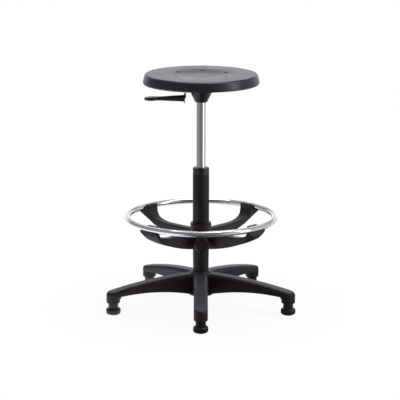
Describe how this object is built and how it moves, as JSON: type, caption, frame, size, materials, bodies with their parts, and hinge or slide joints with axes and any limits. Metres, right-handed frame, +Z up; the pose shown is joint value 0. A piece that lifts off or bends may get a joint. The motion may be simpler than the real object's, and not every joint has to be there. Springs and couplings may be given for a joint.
{
  "type": "high swivel stool with foot ring",
  "caption": "High round swivel stool with a moulded seat on a gas lift, a chromed foot ring clamped to the column and an arched star base on glides.",
  "frame": {"origin": "on the floor, on the axis of the column", "axes": "+Z up, -Y towards the leg that faces the camera in the picture, -X towards the height lever"},
  "size_m": [0.5766, 0.5506, 0.726],
  "materials": {
    "base_nylon": "moulded, fine grain",
    "glide_plastic": "moulded, satin",
    "glide_pad_rubber": "moulded, matt",
    "zinc_steel": "zinc plated",
    "bearing_steel": "ground",
    "black_steel": "black powder coat",
    "bush_plastic": "moulded, satin",
    "bump_rubber": "moulded, matt",
    "chrome_plate": "polished chrome plate",
    "cone_plastic": "moulded, fine grain",
    "handle_plastic": "moulded, satin",
    "spider_nylon": "moulded, fine grain",
    "nut_brass": "turned",
    "birch_ply": "sawn edges",
    "seat_polyurethane": "integral skin, fine grain"
  },
  "bodies": {
    "base": {"star_base": "base_nylon", "glide_1": "glide_plastic", "glide_2": "glide_plastic", "glide_3": "glide_plastic", "glide_4": "glide_plastic", "glide_5": "glide_plastic", "glide_stem_1": "zinc_steel", "glide_stem_2": "zinc_steel", "glide_stem_3": "zinc_steel", "glide_stem_4": "zinc_steel", "glide_stem_5": "zinc_steel", "glide_pad_1": "glide_pad_rubber", "glide_pad_2": "glide_pad_rubber", "glide_pad_3": "glide_pad_rubber", "glide_pad_4": "glide_pad_rubber", "glide_pad_5": "glide_pad_rubber", "column_tube": "black_steel", "column_floor": "zinc_steel", "guide_bush": "bush_plastic", "bearing_washer_lower": "bearing_steel", "ball_cage": "bearing_steel", "bearing_balls": "bearing_steel"},
    "spindle": {"piston_rod": "bearing_steel", "piston": "bearing_steel", "bearing_washer_upper": "bearing_steel", "rod_clip": "zinc_steel", "bump_stop": "bump_rubber"},
    "seat": {"pressure_tube": "chrome_plate", "rod_guide": "bush_plastic", "valve_body": "bearing_steel", "support_cone": "cone_plastic", "seat_plate": "black_steel", "lever_pin": "zinc_steel", "seat_bolts": "zinc_steel", "seat_washers": "zinc_steel", "tee_nuts": "zinc_steel", "seat_board": "birch_ply", "seat_pad": "seat_polyurethane"},
    "lever": {"release_lever": "black_steel", "lever_handle": "handle_plastic"},
    "valve": {"valve_pin": "bearing_steel"},
    "ring_carrier": {"hub_liner": "bush_plastic"},
    "foot_ring": {"foot_ring": "chrome_plate", "ring_spider": "spider_nylon", "ring_screws": "zinc_steel", "clamp_nut": "nut_brass"},
    "clamp_shoe": {"clamp_pad": "bump_rubber"},
    "knob": {"clamp_knob": "handle_plastic", "clamp_stud": "zinc_steel"}
  },
  "joints": [
    {"name": "seat_swivel", "type": "hinge", "parent": "base", "child": "spindle", "pos_m": [0, 0, 0.05], "axis": [0, 0, 1], "continuous": true},
    {"name": "seat_height", "type": "slide", "parent": "spindle", "child": "seat", "axis": [0, 0, 1], "range_m": [-0.195, 0.065]},
    {"name": "lever_lift", "type": "hinge", "parent": "seat", "child": "lever", "pos_m": [-0.024, 0, 0.6833], "axis": [0, 1, 0], "range_deg": [0, 8], "stiffness_Nm_per_rad": 4, "springref_deg": -8.59},
    {"name": "valve_press", "type": "slide", "parent": "seat", "child": "valve", "axis": [0, 0, -1], "range_m": [0, 0.004]},
    {"name": "foot_ring_height", "type": "slide", "parent": "base", "child": "ring_carrier", "axis": [0, 0, 1], "range_m": [-0.06, 0.13]},
    {"name": "foot_ring_turn", "type": "hinge", "parent": "ring_carrier", "child": "foot_ring", "pos_m": [0, 0, 0.2842], "axis": [0, 0, 1], "continuous": true},
    {"name": "clamp_travel", "type": "slide", "parent": "foot_ring", "child": "clamp_shoe", "axis": [0.0384, -0.9993, 0], "range_m": [0, 0.0025]},
    {"name": "clamp_knob_turn", "type": "hinge", "parent": "clamp_shoe", "child": "knob", "pos_m": [0, 0, 0.2142], "axis": [0.0384, -0.9993, 0], "range_deg": [0, 720.5]}
  ],
  "couplings": [
    {"joint": "valve_press", "follows": "lever_lift", "m_per_rad": 0.027},
    {"joint": "clamp_knob_turn", "follows": "clamp_travel", "rad_per_m": 5026.5}
  ]
}
